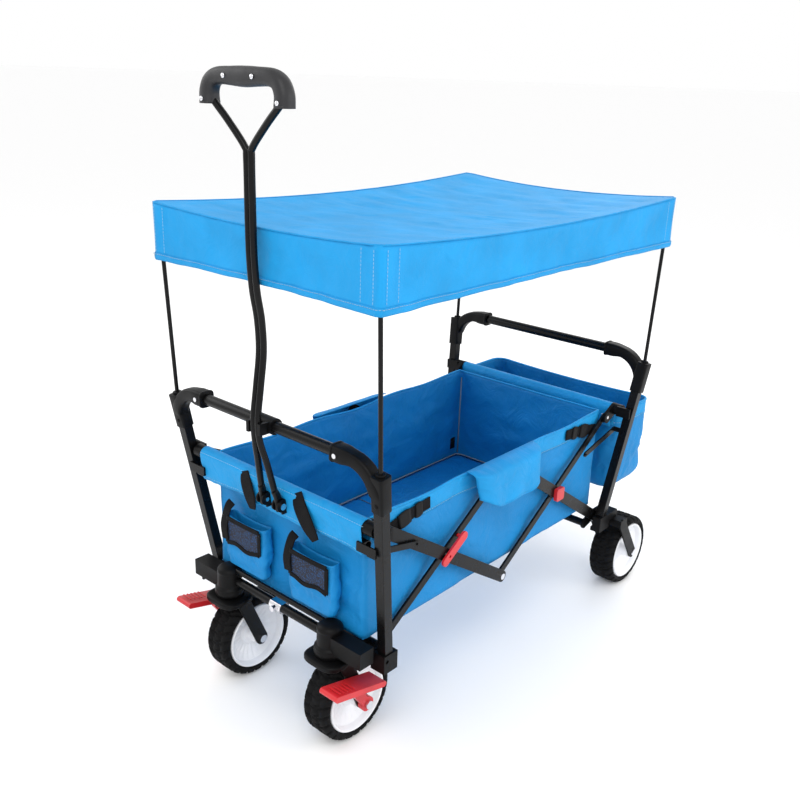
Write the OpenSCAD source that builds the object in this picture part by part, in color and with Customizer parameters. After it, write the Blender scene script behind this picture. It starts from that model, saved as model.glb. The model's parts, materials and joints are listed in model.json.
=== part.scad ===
// Folding beach cart: two end frames on four wheels, joined on each side by a
// double scissor, with a fabric tub, a rear bag, a canopy and a pull handle.
// Seen from above the front (handle) end faces -Y and the ground is z = 0.

/* [Frame] */
// Spacing of the canopy poles across the cart, where they leave the corner pieces
frame_w = 555; // [550:1:560]
// Spacing of the canopy poles along the cart
frame_l = 905; // [900:1:910]
// Height of the corner pieces' tops
corner_z = 612; // [605:1:618]
// Outward lean of the posts, seen from the front
lean_side = 5; // [4.8:0.1:5.2]
// Outward lean of the posts, seen from the side
lean_end = 9.2; // [9:0.1:9.4]
// Width of the square posts
post_w = 20; // [19:1:20]
// Diameter of the push rails' tube
rail_dia = 22; // [20:1:24]
// Height of the push rails' axes
rail_z = 625; // [622:1:628]

/* [Scissor] */
// Distance along the cart between the pivots at the two end frames
pivot_span = 794; // [790:1:796]
// Height of the lower pivots
low_z = 213; // [211:1:215]
// Height of the upper pivots
high_z = 475; // [472:1:478]
// Width of the outer links
outer_link_w = 26; // [22:1:28]
// Width of the inner links
inner_link_w = 16; // [14:1:18]
// Diameter of the pivot pins
pin_dia = 8; // [6:1:8]

/* [Wheels] */
// Outer diameter of the tyres
tyre_dia = 180; // [176:1:180]
// Width of the tyres
tyre_w = 66; // [60:1:68]
// Diameter of the rims
rim_dia = 142; // [136:1:146]
// Distance of the front wheels from the centre line
front_track = 148; // [146:1:149]
// Distance of the rear wheels from the centre line
rear_track = 238; // [238:1:240]
// Distance of the rear axle from the middle of the end frames
rear_axle_d = 512; // [508:1:516]

/* [Canopy] */
// Length of the canopy
canopy_l = 962; // [955:1:968]
// Width of the canopy
canopy_w = 584; // [580:1:588]
// Height of the canopy's top
canopy_z = 990; // [980:1:1000]
// Height of its hanging edge
canopy_drop = 108; // [90:1:120]

/* [Tub] */
// Width of the tub
tub_w = 420; // [410:1:420]
// Height of the tub's top edge
tub_top_z = 492; // [488:1:493]
// Height of the tub's underside
tub_low_z = 245; // [240:1:250]
// Thickness of the fabric walls
cloth = 4; // [3:0.5:5]

/* [Handle] */
// Height of the grip's axis
grip_z = 1214; // [1180:1:1240]
// Length of the grip, over its end lobes
grip_l = 216; // [205:1:225]
// Diameter of the handle's tube
handle_dia = 22; // [20:1:24]

/* [Hidden] */
$fn = 48;
steel = [0.09, 0.09, 0.10];
plastic = [0.17, 0.17, 0.18];
chrome = [0.75, 0.75, 0.78];
red = [0.72, 0.10, 0.12];
white = [0.88, 0.88, 0.90];
rubber = [0.06, 0.06, 0.06];
blue = [0.05, 0.42, 0.78];
board = [0.30, 0.26, 0.20];

// middle of the end frames, measured from the middle of the whole cart
mid_y = -46.5;
gap = 0.1;               // running clearance between round parts
wall = 1.5;              // wall of the steel tubes

// the posts lean, so their place depends on the height
function post_x(z) = frame_w / 2 - (corner_z - z) * tan(lean_side);
function post_y(z) = -frame_l / 2 + (corner_z - z) * tan(lean_end);
post_top_z = 598;
post_foot_z = 192;
rail_y = -455;
rail_half = 196;
elbow_r = 62;            // bend radius of a corner piece
elbow_x = 210;           // where its bend starts

// scissor geometry, in the plane of one side
end_y = -pivot_span / 2;
cross_y = end_y / 2;
cross_z = (low_z + high_z) / 2;
inner_x = 215.5;         // inner links' inside face
inner_t = 5;
outer_x = 222;           // outer links' inside face
outer_t = 7;
lug_x = 213;             // inside face of the front sliders' lugs
strut_x = 231.5;
strut_t = 3.5;
strut_foot = [-427, 440];
strut_head = [-299.5, 410.5];

// cross tubes and rails at each end
fabric_rail_y = -427;
fabric_rail_z = 490;
fabric_rail_dia = 20;
mid_rail_z = 455;
mid_rail_dia = 18;
foot_tube_y = -362;
foot_tube_z = 204;
foot_tube_dia = 18;
foot_x = 222;            // inside face of the front foot brackets
rear_foot_x = 213.5;     // inside face of the rear foot brackets
foot_plate_t = 5;
crown_top_z = 206;       // top of the rear forks' crowns
housing_dia = 46;
bow = 14;                // how far the canopy's end edges curve in at the middle

// casters
caster_x = front_track;
caster_y = -438;
front_axle_y = -391.5;
axle_z = tyre_dia / 2;
crown_low_z = 186;
crown_t = 15;
housing_low_z = 203;
housing_top_z = 268;
leg_gap = 39;            // from the wheel's middle to a leg's inside face
leg_t = 5;
axle_dia = 10;

// handle
handle_foot = [22, -448, 467];
handle_neck = [0, -479, 600];
handle_top = [0, -482, 1100];
grip_y = -486;
arm_x = 92;

// ---------- helpers ----------

// children are drawn around the middle of the end frames
module at_mid() translate([0, mid_y, 0]) children();

module both_sides() {
  children();
  mirror([1, 0, 0]) children();
}

module at_rear() mirror([0, 1, 0]) children();

module left_side() mirror([1, 0, 0]) children();

// a round rod between two points
module rod(p, q, d) {
  v = q - p;
  translate(p)
    rotate([0, acos(v.z / norm(v)), atan2(v.y, v.x)])
      cylinder(h = norm(v), d = d);
}

// a cylinder along X
module xrod(x0, x1, y, z, d) rod([x0, y, z], [x1, y, z], d);

module tube(p, q, d) {
  v = (q - p) / norm(q - p);
  difference() {
    rod(p, q, d);
    rod(p - v, q + v, d - 2 * wall);
  }
}

// a square bar of width w along a leaning post, from height z0 to z1
module along_post(z0, z1, w) {
  p = [post_x(z0), post_y(z0), z0];
  q = [post_x(z1), post_y(z1), z1];
  v = q - p;
  translate(p)
    rotate([-asin(v.y / norm(v)), atan2(v.x, v.z), 0])
      translate([-w / 2, -w / 2, 0])
        cube([w, w, norm(v)]);
}

// flat shapes drawn in the side view (Y across, Z up), t thick from x0
module side_plate(x0, t) translate([x0, 0, 0]) rotate([90, 0, 90]) linear_extrude(t) children();

// a flat bar with round ends between two points of the side view
module stadium(a, b, w) {
  v = b - a;
  side = w - 0.04;       // a hair narrower than the ends, so that no edges are tangent
  translate(a) rotate(atan2(v.y, v.x)) translate([0, -side / 2]) square([norm(v), side]);
  translate(a) circle(d = w);
  translate(b) circle(d = w);
}

module link(a, b, w, x0, t, holes) {
  side_plate(x0, t) difference() {
    stadium(a, b, w);
    for (h = holes) translate(h) circle(d = pin_dia + 2 * gap);
  }
}

module rounded_rect(l, w, r) {
  for (s = [-1, 1], e = [-1, 1]) translate([s * (l / 2 - r), e * (w / 2 - r)]) circle(r = r);
  square([l - 2 * r, w], center = true);
  square([l, w - 2 * r], center = true);
}

// an open fabric box: outside size, from z0 to z1, with corner radius r
module open_box(l, w, r, z0, z1) {
  translate([0, 0, z0]) difference() {
    linear_extrude(z1 - z0) rounded_rect(l, w, r);
    translate([0, 0, cloth])
      linear_extrude(z1 - z0) rounded_rect(l - 2 * cloth, w - 2 * cloth, r - cloth);
  }
}

// ---------- end frames ----------

module post_pair(foot_z) {
  both_sides() difference() {
    along_post(foot_z, post_top_z, post_w);
    along_post(foot_z - 2, post_top_z + 2, post_w - 2 * wall);
  }
}

module push_rail() tube([-rail_half, rail_y, rail_z], [rail_half, rail_y, rail_z], rail_dia);

// one moulded corner piece: rail socket, bend, post sleeve and pole collar
module corner_piece() {
  section = 28;
  difference() {
    union() {
      xrod(178, elbow_x, rail_y, rail_z, 31);
      translate([elbow_x, rail_y, rail_z - elbow_r])
        rotate([90, 0, 0])
          rotate_extrude(angle = 90)
            translate([elbow_r - section / 2, -section / 2]) square(section);
      along_post(543, corner_z, section);
    }
    along_post(540, post_top_z + gap, post_w + 2 * gap);
    xrod(170, rail_half + gap, rail_y, rail_z, rail_dia + 2 * gap);
    pole_rod(560, 640, pole_dia + 2 * gap);
    screw_shape(2 * gap);
  }
}

// screw from the corner piece towards the rail, or its hole when extra is added
module screw_shape(extra) {
  rod([190, rail_y - rail_dia / 2 - 1.2 + extra, rail_z], [190, rail_y - 19 - extra, rail_z], 5 + extra);
  rod([190, rail_y - 15.8 + extra, rail_z], [190, rail_y - 19 - extra, rail_z], 9 + extra);
}

pole_dia = 8;
pole_foot_z = 599;
pole_tip = [281, -470, canopy_z - cloth - 3];

// a rod along a canopy pole's axis, between two heights
module pole_rod(z0, z1, d) {
  e = [frame_w / 2, -frame_l / 2, corner_z];
  v = (pole_tip - e) / (pole_tip.z - e.z);
  rod(e + v * (z0 - corner_z), e + v * (z1 - corner_z), d);
}

module pole_pair() both_sides() pole_rod(pole_foot_z, pole_tip.z, pole_dia);

// cross tube between the foot brackets' inside faces, half its length from the middle
module cross_tube(half) {
  tube([-half, foot_tube_y, foot_tube_z], [half, foot_tube_y, foot_tube_z], foot_tube_dia);
}

// pivot plate of a foot bracket, at x0, with its arm towards the caster or fork
module foot_plate(x0) {
  side_plate(x0, foot_plate_t) {
    stadium(low_end, [foot_tube_y, foot_tube_z], 26);
    translate([-450, crown_top_z]) square([65, 228 - crown_top_z]);
  }
}

module post_socket() along_post(post_foot_z - gap, 260, post_w + 2 * gap);

// front foot bracket: plate outside the inner link, post socket and caster arm
module front_foot_bracket() {
  difference() {
    union() {
      foot_plate(foot_x);
      translate([foot_x, -405, post_foot_z - 4]) cube([34, 36, 38]);
      translate([caster_x + 10, -455, 216]) cube([foot_x + 10 - caster_x, 35, 34]);
    }
    post_socket();
    xrod(foot_x - 1, foot_x + foot_plate_t + 30, low_end.x, low_end.y, pin_dia);
    translate([caster_x, caster_y, 200]) cylinder(h = 90, d = housing_dia + 2 * gap);
  }
}

// rear foot bracket: plate inside the outer link, post socket beyond it and fork seat
module rear_foot_bracket() {
  difference() {
    union() {
      foot_plate(rear_foot_x);
      translate([rear_foot_x, -450, crown_top_z]) cube([256 - rear_foot_x, 36, 20]);
      translate([230.5, -415, post_foot_z - 4]) cube([25.5, 46, 38]);
    }
    post_socket();
    side_plate(outer_x - 1, outer_t + 6) {
      translate(low_end) circle(r = outer_link_w / 2 + 2);
      translate(low_end - [0, outer_link_w / 2 + 2]) square([60, 80]);
    }
    xrod(rear_foot_x - 1, rear_foot_x + foot_plate_t + 1, low_end.x, low_end.y, pin_dia + 2 * gap);
  }
}

module fabric_rail() {
  tube([-fabric_rail_half, fabric_rail_y, fabric_rail_z],
       [fabric_rail_half, fabric_rail_y, fabric_rail_z], fabric_rail_dia);
}
fabric_rail_half = 252;

// slider bracket of one side: link lug from x0 to x1, rail socket and a cradle behind the post
module slider(x0, x1) {
  difference() {
    union() {
      side_plate(x0, x1 - x0) stadium(high_end, [fabric_rail_y, fabric_rail_z], 28);
      xrod(x0, 249, fabric_rail_y, fabric_rail_z, 27);
      translate([240, -419.5, 478]) cube([34, 6, 24]);
    }
    xrod(x0 - 1, 260, fabric_rail_y, fabric_rail_z, fabric_rail_dia + 2 * gap);
    xrod(x0 - 1, x1 + 1, end_y, high_z, pin_dia + 2 * gap);
  }
}

// ---------- scissor ----------

// pivots of one half, in the side view with this half's end towards -Y
low_end = [end_y, low_z];
high_end = [end_y, high_z];
crossing = [cross_y, cross_z];
low_mid = [0, low_z];
high_mid = [0, high_z];

module outer_link(a, b) link(a, b, outer_link_w, outer_x, outer_t, [a, crossing, b]);

module inner_link(a, b) link(a, b, inner_link_w, inner_x, inner_t, [a, crossing, b]);

// a pivot pin through both link planes, with a head outside and a nut inside
module pivot_pin(p, nut_x) {
  xrod(nut_x, outer_x + outer_t + 2, p.x, p.y, pin_dia);
  xrod(outer_x + outer_t, outer_x + outer_t + 2, p.x, p.y, 14);
}

// a pivot pin with both heads close to the plates between x0 and x1
module plate_pin(x0, x1, p) {
  xrod(x0 - 2, x1, p.x, p.y, pin_dia);
  xrod(x0 - 2, x0, p.x, p.y, 13);
}

module strut() {
  difference() {
    union() {
      side_plate(strut_x, strut_t) stadium(strut_foot, strut_head, 12);
      xrod(strut_x, 251, strut_foot.x, strut_foot.y, 12);
    }
    xrod(strut_x - 1, strut_x + strut_t + 1, strut_head.x, strut_head.y, 5);
  }
  xrod(strut_x + gap, strut_x + strut_t + 2.5, strut_head.x, strut_head.y, 4.8);
}

// red lever outside the links, with a stud that catches the outer link
module lock_lever() {
  dir = (high_mid - low_end) / norm(high_mid - low_end);
  tip = crossing + dir * 52;
  heel = crossing - dir * 14;
  stud = crossing + dir * 48;
  xrod(inner_x + inner_t + 0.4, outer_x + outer_t + 3, stud.x, stud.y, 8);
  side_plate(outer_x + outer_t + 2.4, 5) difference() {
    stadium(heel, tip, 19);
    translate(crossing) circle(d = 6);
  }
}

module lock_block() {
  side_plate(outer_x + outer_t + 2.4, 6) translate(crossing) rounded_rect(30, 30, 5);
  side_plate(outer_x + outer_t, 2.6) translate(crossing) difference() {
    rounded_rect(30, 30, 5);
    circle(d = 14.4);
  }
}

// ---------- wheels and casters ----------

module tyre(x, y) {
  r = tyre_dia / 2;
  h = tyre_w / 2;
  sh = 9;                // shoulder radius
  translate([x, y, axle_z]) rotate([0, 90, 0]) rotate_extrude($fn = 96) {
    polygon([[rim_dia / 2 + gap, -h + 6], [r - sh, -h], [r - sh, h], [rim_dia / 2 + gap, h - 6]]);
    translate([r - sh - 1, -h + sh]) square([sh + 1, 2 * (h - sh)]);
    for (s = [-1, 1]) translate([r - sh, s * (h - sh)]) circle(r = sh, $fn = 24);
  }
}

// deep rim with a disc web and a hub that turns on its axle
module rim(x, y) {
  r = rim_dia / 2;
  translate([x, y, axle_z]) rotate([0, 90, 0]) rotate_extrude($fn = 96) {
    translate([r - 4, -27]) square([4, 54]);
    polygon([[14, -9], [r - 3, -3], [r - 3, 3], [14, 9]]);
    translate([axle_dia / 2 + gap, -37]) square([11, 74]);
  }
}

// an axle bolt along X, with heads outside x0 and x1
module axle_bolt(x0, x1, y) {
  xrod(x0 - 4, x1 + 4, y, axle_z, axle_dia);
  xrod(x0 - 5, x0, y, axle_z, 17);
  xrod(x1, x1 + 5, y, axle_z, 17);
}

module fork_legs(x, top, foot_y, w) {
  for (s = [-1, 1])
    side_plate(s < 0 ? x - leg_gap - leg_t : x + leg_gap, leg_t) difference() {
      stadium(top, [foot_y, axle_z], w);
      translate([foot_y, axle_z]) circle(d = axle_dia);
    }
}

module front_fork() {
  half = leg_gap + leg_t;
  fork_legs(caster_x, [-437, 188], front_axle_y, 30);
  translate([caster_x - half, -478, crown_low_z]) cube([2 * half, 76, crown_t]);
  translate([caster_x, caster_y, crown_low_z + crown_t]) cylinder(h = spindle_h, d = 20);
}

module caster_housing() {
  difference() {
    union() {
      translate([caster_x, caster_y, housing_low_z])
        cylinder(h = housing_top_z - housing_low_z, d = housing_dia);
      translate([caster_x, caster_y, housing_low_z]) cylinder(h = 12, d = 62);
    }
    translate([caster_x, caster_y, housing_low_z - 1]) cylinder(h = spindle_h + 2, d = 20 + 2 * gap);
    for (b = [[lower_bar_z, lower_bar_dia], [upper_bar_z, upper_bar_dia]])
      xrod(0, caster_x - 15, bar_y, b.x, b.y + 2 * gap);
  }
}
spindle_h = 56;
bar_y = -434;
lower_bar_z = 236;
lower_bar_dia = 19;
upper_bar_z = 260;
upper_bar_dia = 11;

// brake pedal: foot plate, stem and hub ring, turning on the front axle
module brake_pedal() {
  hub = [front_axle_y, axle_z];
  difference() {
    union() {
      side_plate(pedal_x, pedal_hub_t) {
        translate(hub) circle(d = 30);
        stadium(hub, [-436, 152], 18);
        stadium([-436, 152], [-405, 150], 14);
      }
      side_plate(pedal_x + 1, 43) stadium([-503, 178], [-382, 147], 12);
      for (i = [0 : 4]) translate([pedal_x + 14, -496 + 9 * i, 184.2 - 2.3 * i]) cube([26, 3, 1.6]);
    }
    xrod(pedal_x - 1, pedal_x + pedal_hub_t + 1, hub.x, hub.y, axle_dia + 2 * gap);
  }
}
pedal_x = caster_x + leg_gap + leg_t + 1;
pedal_hub_t = 12;

module rear_fork() {
  half = leg_gap + leg_t;
  fork_legs(rear_track, [-441, 194], -rear_axle_d, 28);
  translate([rear_track - half, -458, 188]) cube([2 * half, 30, crown_top_z - 188]);
}

// ---------- handle ----------

// long tube that forks into two arms below the grip
module handle_tube_shape() {
  rod(handle_neck, handle_top, handle_dia);
  translate(handle_top) sphere(d = 0.97 * handle_dia);
  for (s = [-1, 1]) rod(handle_top, [s * arm_x, grip_y, grip_z - 32], 17);
}

// one leg of the handle: flattened foot on its bolt, then a round tube up to the neck
module handle_leg() {
  ankle = handle_foot + [0, -7, 30];
  side_plate(handle_foot.x - 3, 6) difference() {
    union() {
      stadium([handle_foot.y, handle_foot.z], [ankle.y, ankle.z], 12);
      translate([handle_foot.y, handle_foot.z]) circle(d = 13);
    }
    translate([handle_foot.y, handle_foot.z]) circle(d = pin_dia + 2 * gap);
  }
  rod(ankle, handle_neck + [4, 0, 6], 12);
}

module handle_bracket() {
  difference() {
    union() {
      for (s = [-1, 1]) side_plate(handle_foot.x + s * 7 - 2, 4) {
        translate([handle_foot.y, handle_foot.z]) circle(d = 24);
        translate([handle_foot.y, handle_foot.z - 17]) square([14, 29]);
      }
      translate([handle_foot.x - 9, -441, 450]) cube([18, 7, 29]);
    }
    for (s = [-1, 1]) xrod(handle_foot.x + s * 7 - 3, handle_foot.x + s * 7 + 3,
                           handle_foot.y, handle_foot.z, pin_dia);
    xrod(-60, 60, mid_rail_y, mid_rail_z, mid_rail_dia + 2 * gap);
  }
}
mid_rail_y = post_y(mid_rail_z);

module grip_shape() {
  r = 26;                // bend radius of the end lobes
  half = grip_l / 2 - 17;
  difference() {
    union() {
      xrod(-half + r, half - r, grip_y, grip_z, 34);
      for (s = [0, 1]) mirror([s, 0, 0]) {
        translate([half - r, grip_y, grip_z - r]) rotate([90, 0, 0])
          rotate_extrude(angle = 90) translate([r, 0]) circle(d = 34);
        translate([half, grip_y, grip_z - 42]) cylinder(h = 42 - r, d = 34);
      }
    }
    for (s = [-1, 1]) rod(handle_top, [s * arm_x, grip_y, grip_z - 32], 17 + 2 * gap);
  }
}

// ---------- nodes ----------

module rear_posts() color(steel) at_mid() at_rear() post_pair(post_foot_z);
module rear_push_rail() color(steel) at_mid() at_rear() push_rail();
module rear_corners() color(plastic) at_mid() at_rear() both_sides() corner_piece();
module rear_corner_screws() color(chrome) at_mid() at_rear() both_sides() screw_shape(0);
module rear_cross_tube() color(steel) at_mid() at_rear() cross_tube(rear_foot_x);
module rear_brackets() color(plastic) at_mid() at_rear() both_sides() rear_foot_bracket();
module rear_forks() color(plastic) at_mid() at_rear() both_sides() rear_fork();
module rear_axles() {
  reach = leg_gap + leg_t;
  color(chrome) at_mid() both_sides()
    axle_bolt(rear_track - reach, rear_track + reach, rear_axle_d);
}
module rear_poles() color(steel) at_mid() at_rear() pole_pair();

module rear_bag() {
  color(blue) at_mid() translate([0, 523, 0]) open_box(468, 154, 14, 262, 478);
}

module rear_fabric_rail() color(steel) at_mid() at_rear() fabric_rail();
module rear_sliders() color(plastic) at_mid() at_rear() both_sides() slider(outer_x, outer_x + outer_t);

tub_front = -414;
tub_rear = 394;

module tub() {
  color(blue) at_mid() translate([0, (tub_front + tub_rear) / 2, 0])
    open_box(tub_w, tub_rear - tub_front, 14, tub_low_z, tub_top_z);
}

// stiff panels that keep the tub's floor flat
module floor_boards() {
  color(board) at_mid() for (i = [-1, 1])
    translate([0, (tub_front + tub_rear) / 2 + i * 195, tub_low_z + cloth + gap])
      linear_extrude(3) rounded_rect(tub_w - 24, 384, 8);
}

module front_posts() color(steel) at_mid() post_pair(post_foot_z);
module front_push_rail() color(steel) at_mid() push_rail();
module front_corners() color(plastic) at_mid() both_sides() corner_piece();
module front_corner_screws() color(chrome) at_mid() both_sides() screw_shape(0);

// the cross tube and the two bars between the caster housings
module front_cross_bars() {
  color(steel) at_mid() {
    cross_tube(foot_x);
    for (b = [[lower_bar_z, lower_bar_dia], [upper_bar_z, upper_bar_dia]])
      xrod(-caster_x + 16, caster_x - 16, bar_y, b.x, b.y);
  }
}

module front_brackets() color(plastic) at_mid() both_sides() front_foot_bracket();
module caster_housings() color(plastic) at_mid() both_sides() caster_housing();
module front_poles() color(steel) at_mid() pole_pair();

// rail that carries the handle; its end tabs pass in front of the struts to the posts
module front_mid_rail() {
  end_x = 229;
  color(steel) at_mid() {
    tube([-end_x, mid_rail_y, mid_rail_z], [end_x, mid_rail_y, mid_rail_z], mid_rail_dia);
    both_sides() difference() {
      union() {
        translate([215, mid_rail_y - 15, mid_rail_z - 9]) cube([14, 15, 18]);
        translate([215, mid_rail_y - 15, mid_rail_z - 9]) cube([46, 3.2, 18]);
      }
      xrod(210, 232, mid_rail_y, mid_rail_z, mid_rail_dia - 0.2);
    }
  }
}

module handle_brackets() color(plastic) at_mid() both_sides() handle_bracket();

// clip round the push rail with two prongs that hold the handle upright
module handle_clip() {
  color(plastic) at_mid() difference() {
    union() {
      xrod(-24, 24, rail_y, rail_z, 31);
      for (s = [-1, 1]) translate([s * 15.5 - 3.5, -488, rail_z - 11]) cube([7, 30, 22]);
    }
    xrod(-30, 30, rail_y, rail_z, rail_dia + 2 * gap);
    handle_slot();
  }
}

// room for the handle's tube between the clip's prongs
module handle_slot() {
  d = handle_dia + 1.2;
  rod(handle_neck, handle_top, d);
  translate([-d / 2, -510, rail_z - 30]) cube([d, 30, 60]);
}

module bar_latch() {
  color(chrome) at_mid() difference() {
    union() {
      xrod(-16, 16, bar_y, lower_bar_z, 25);
      rod([0, bar_y - 9, lower_bar_z], [0, bar_y - 19, lower_bar_z], 12);
    }
    xrod(-20, 20, bar_y, lower_bar_z, lower_bar_dia + 2 * gap);
    translate([-20, bar_y - 30, lower_bar_z + 9.8]) cube([40, 60, 10]);
  }
}

module front_fabric_rail() color(steel) at_mid() fabric_rail();
module front_sliders() color(plastic) at_mid() both_sides() slider(lug_x, inner_x + inner_t);

// two open pouches sewn to the tub's front wall
module front_pockets() {
  color(blue) at_mid() both_sides() translate([94, tub_front - 12.5, 0])
    open_box(118, 24, 9, 272, 386);
}

module front_outer_links() color(steel) at_mid() both_sides() outer_link(high_end, low_mid);
module front_inner_links() color(steel) at_mid() both_sides() inner_link(low_end, high_mid);
module rear_outer_links() color(steel) at_mid() at_rear() both_sides() outer_link(low_end, high_mid);
module rear_inner_links() color(steel) at_mid() at_rear() both_sides() inner_link(high_end, low_mid);

module front_link_pins() {
  color(chrome) at_mid() both_sides() {
    pivot_pin(high_end, 212);
    pivot_pin(crossing, 214.5);
    pivot_pin(low_mid, 212);
  }
}

module rear_link_pins() {
  color(chrome) at_mid() at_rear() both_sides() {
    pivot_pin(low_end, 212);
    pivot_pin(crossing, 214.5);
    pivot_pin(high_mid, 212);
  }
}

module rear_top_pins() color(chrome) at_mid() at_rear() both_sides() {
  plate_pin(inner_x - 0.3, outer_x + outer_t, high_end);
}

module front_struts() color(steel) at_mid() both_sides() strut();
module rear_struts() color(steel) at_mid() at_rear() both_sides() strut();
module lock_lever_right() color(red) at_mid() lock_lever();
module lock_lever_left() color(red) at_mid() left_side() lock_lever();
module rear_lock_blocks() color(red) at_mid() at_rear() both_sides() lock_block();

module front_fork_right() color(plastic) at_mid() front_fork();
module front_fork_left() color(plastic) at_mid() left_side() front_fork();

module front_axle() {
  reach = leg_gap + leg_t;
  axle_bolt(front_track - reach, pedal_x + pedal_hub_t + 1, front_axle_y);
}

module front_axle_right() color(chrome) at_mid() front_axle();
module front_axle_left() color(chrome) at_mid() left_side() front_axle();
module brake_pedal_right() color(red) at_mid() brake_pedal();
module brake_pedal_left() color(red) at_mid() left_side() brake_pedal();

module front_tyre_right() color(rubber) at_mid() tyre(front_track, front_axle_y);
module front_tyre_left() color(rubber) at_mid() tyre(-front_track, front_axle_y);
module front_rim_right() color(white) at_mid() rim(front_track, front_axle_y);
module front_rim_left() color(white) at_mid() rim(-front_track, front_axle_y);
module rear_tyre_right() color(rubber) at_mid() tyre(rear_track, rear_axle_d);
module rear_tyre_left() color(rubber) at_mid() tyre(-rear_track, rear_axle_d);
module rear_rim_right() color(white) at_mid() rim(rear_track, rear_axle_d);
module rear_rim_left() color(white) at_mid() rim(-rear_track, rear_axle_d);

module handle_tube() color(steel) at_mid() handle_tube_shape();

module handle_legs() {
  color(steel) at_mid() difference() {
    both_sides() handle_leg();
    rod(handle_neck, handle_top, handle_dia + 2 * gap);
  }
}

// pivot bolts held in the front frame: the handle's and the inner links'
module front_bolts() {
  color(chrome) at_mid() both_sides() {
    xrod(handle_foot.x - 11, handle_foot.x + 11, handle_foot.y, handle_foot.z, pin_dia);
    xrod(handle_foot.x + 9.2, handle_foot.x + 12, handle_foot.y, handle_foot.z, 13);
    plate_pin(inner_x - 0.3, foot_x + foot_plate_t, low_end);
  }
}

module handle_grip() color(plastic) at_mid() grip_shape();

// the canopy's outline, set in by an inset; its end edges curve inwards
module canopy_outline(inset) {
  r = (pow(canopy_w / 2, 2) + bow * bow) / (2 * bow);
  difference() {
    rounded_rect(canopy_w - 2 * inset, canopy_l - 2 * inset, 12 - inset);
    for (s = [-1, 1])
      translate([0, s * (canopy_l / 2 - bow + r)]) circle(r = r + inset, $fn = 360);
  }
}

module canopy() {
  color(blue) at_mid() translate([0, 0, canopy_z - canopy_drop]) difference() {
    linear_extrude(canopy_drop) canopy_outline(0);
    translate([0, 0, -1]) linear_extrude(canopy_drop - cloth + 1) canopy_outline(cloth);
  }
}

rear_posts();
rear_push_rail();
rear_corners();
rear_corner_screws();
rear_cross_tube();
rear_brackets();
rear_forks();
rear_axles();
rear_poles();
rear_bag();
rear_fabric_rail();
rear_sliders();
tub();
floor_boards();
front_posts();
front_push_rail();
front_corners();
front_corner_screws();
front_cross_bars();
rear_top_pins();
front_brackets();
caster_housings();
front_poles();
front_mid_rail();
handle_brackets();
handle_clip();
bar_latch();
front_fabric_rail();
front_sliders();
front_pockets();
front_outer_links();
front_inner_links();
rear_outer_links();
rear_inner_links();
front_link_pins();
rear_link_pins();
front_struts();
rear_struts();
lock_lever_left();
lock_lever_right();
rear_lock_blocks();
front_fork_left();
front_fork_right();
front_axle_left();
front_axle_right();
brake_pedal_left();
brake_pedal_right();
front_tyre_left();
front_tyre_right();
front_rim_left();
front_rim_right();
rear_tyre_left();
rear_tyre_right();
rear_rim_left();
rear_rim_right();
handle_tube();
handle_legs();
front_bolts();
handle_grip();
canopy();
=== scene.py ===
"""Looks for the folding beach cart: cloth tub, bag and canopy, treaded wheels and a forked handle."""
import json
import math

import bmesh
import bpy
from mathutils import Matrix, Vector, noise


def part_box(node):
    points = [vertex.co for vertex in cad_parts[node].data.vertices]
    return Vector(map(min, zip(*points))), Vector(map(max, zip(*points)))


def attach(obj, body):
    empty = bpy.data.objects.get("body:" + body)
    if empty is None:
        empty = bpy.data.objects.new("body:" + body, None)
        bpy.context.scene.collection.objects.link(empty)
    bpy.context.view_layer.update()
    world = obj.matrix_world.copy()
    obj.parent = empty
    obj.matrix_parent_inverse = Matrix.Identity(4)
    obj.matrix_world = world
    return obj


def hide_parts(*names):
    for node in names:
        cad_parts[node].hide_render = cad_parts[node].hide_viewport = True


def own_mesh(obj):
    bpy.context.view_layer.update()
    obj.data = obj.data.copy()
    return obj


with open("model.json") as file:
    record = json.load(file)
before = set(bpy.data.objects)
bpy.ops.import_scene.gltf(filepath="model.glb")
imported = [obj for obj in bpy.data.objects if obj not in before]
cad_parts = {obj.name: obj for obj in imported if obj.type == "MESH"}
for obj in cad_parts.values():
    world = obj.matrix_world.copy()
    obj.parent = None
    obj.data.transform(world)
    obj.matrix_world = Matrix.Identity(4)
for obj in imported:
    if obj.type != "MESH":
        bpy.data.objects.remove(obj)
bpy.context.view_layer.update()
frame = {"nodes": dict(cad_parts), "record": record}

# ---------- places, from the frame ----------


def span(node, axis):
    low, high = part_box(node)
    return low[axis], high[axis]


def centre(node):
    low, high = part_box(node)
    return Vector([(a + b) / 2 for a, b in zip(low, high)])


MID = (centre("front_push_rail").y + centre("rear_push_rail").y) / 2
X, Y, Z = 0, 1, 2
SIDES = {"left": -1, "right": 1}
ENDS = {"front": -1, "rear": 1}
TUB_CORNER = 0.012         # corner radius of the tub's plan
BAG_CORNER = 0.03          # corner radius of the rear bag's plan
BAG_HALF = (0.234, 0.077)  # half width and half depth of the rear bag
STRAP_HALF = 0.0125        # half width of the webbing
STRAP_THICK = 0.0009       # half its thickness
PIPE_R = 0.0018            # radius of the piping
TUB_LOW, TUB_HIGH = (Vector(c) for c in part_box("tub"))
BAG_LOW, BAG_HIGH = (Vector(c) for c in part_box("rear_bag"))
TOP_LOW, TOP_HIGH = (Vector(c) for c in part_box("canopy"))
RAIL = {end: centre(end + "_fabric_rail") for end in ENDS}
PUSH = {end: centre(end + "_push_rail") for end in ENDS}
BOARD_TOP = span("floor_boards", Z)[1]
UP = Vector((0, 0, 1))

# ---------- mesh helpers ----------


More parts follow.
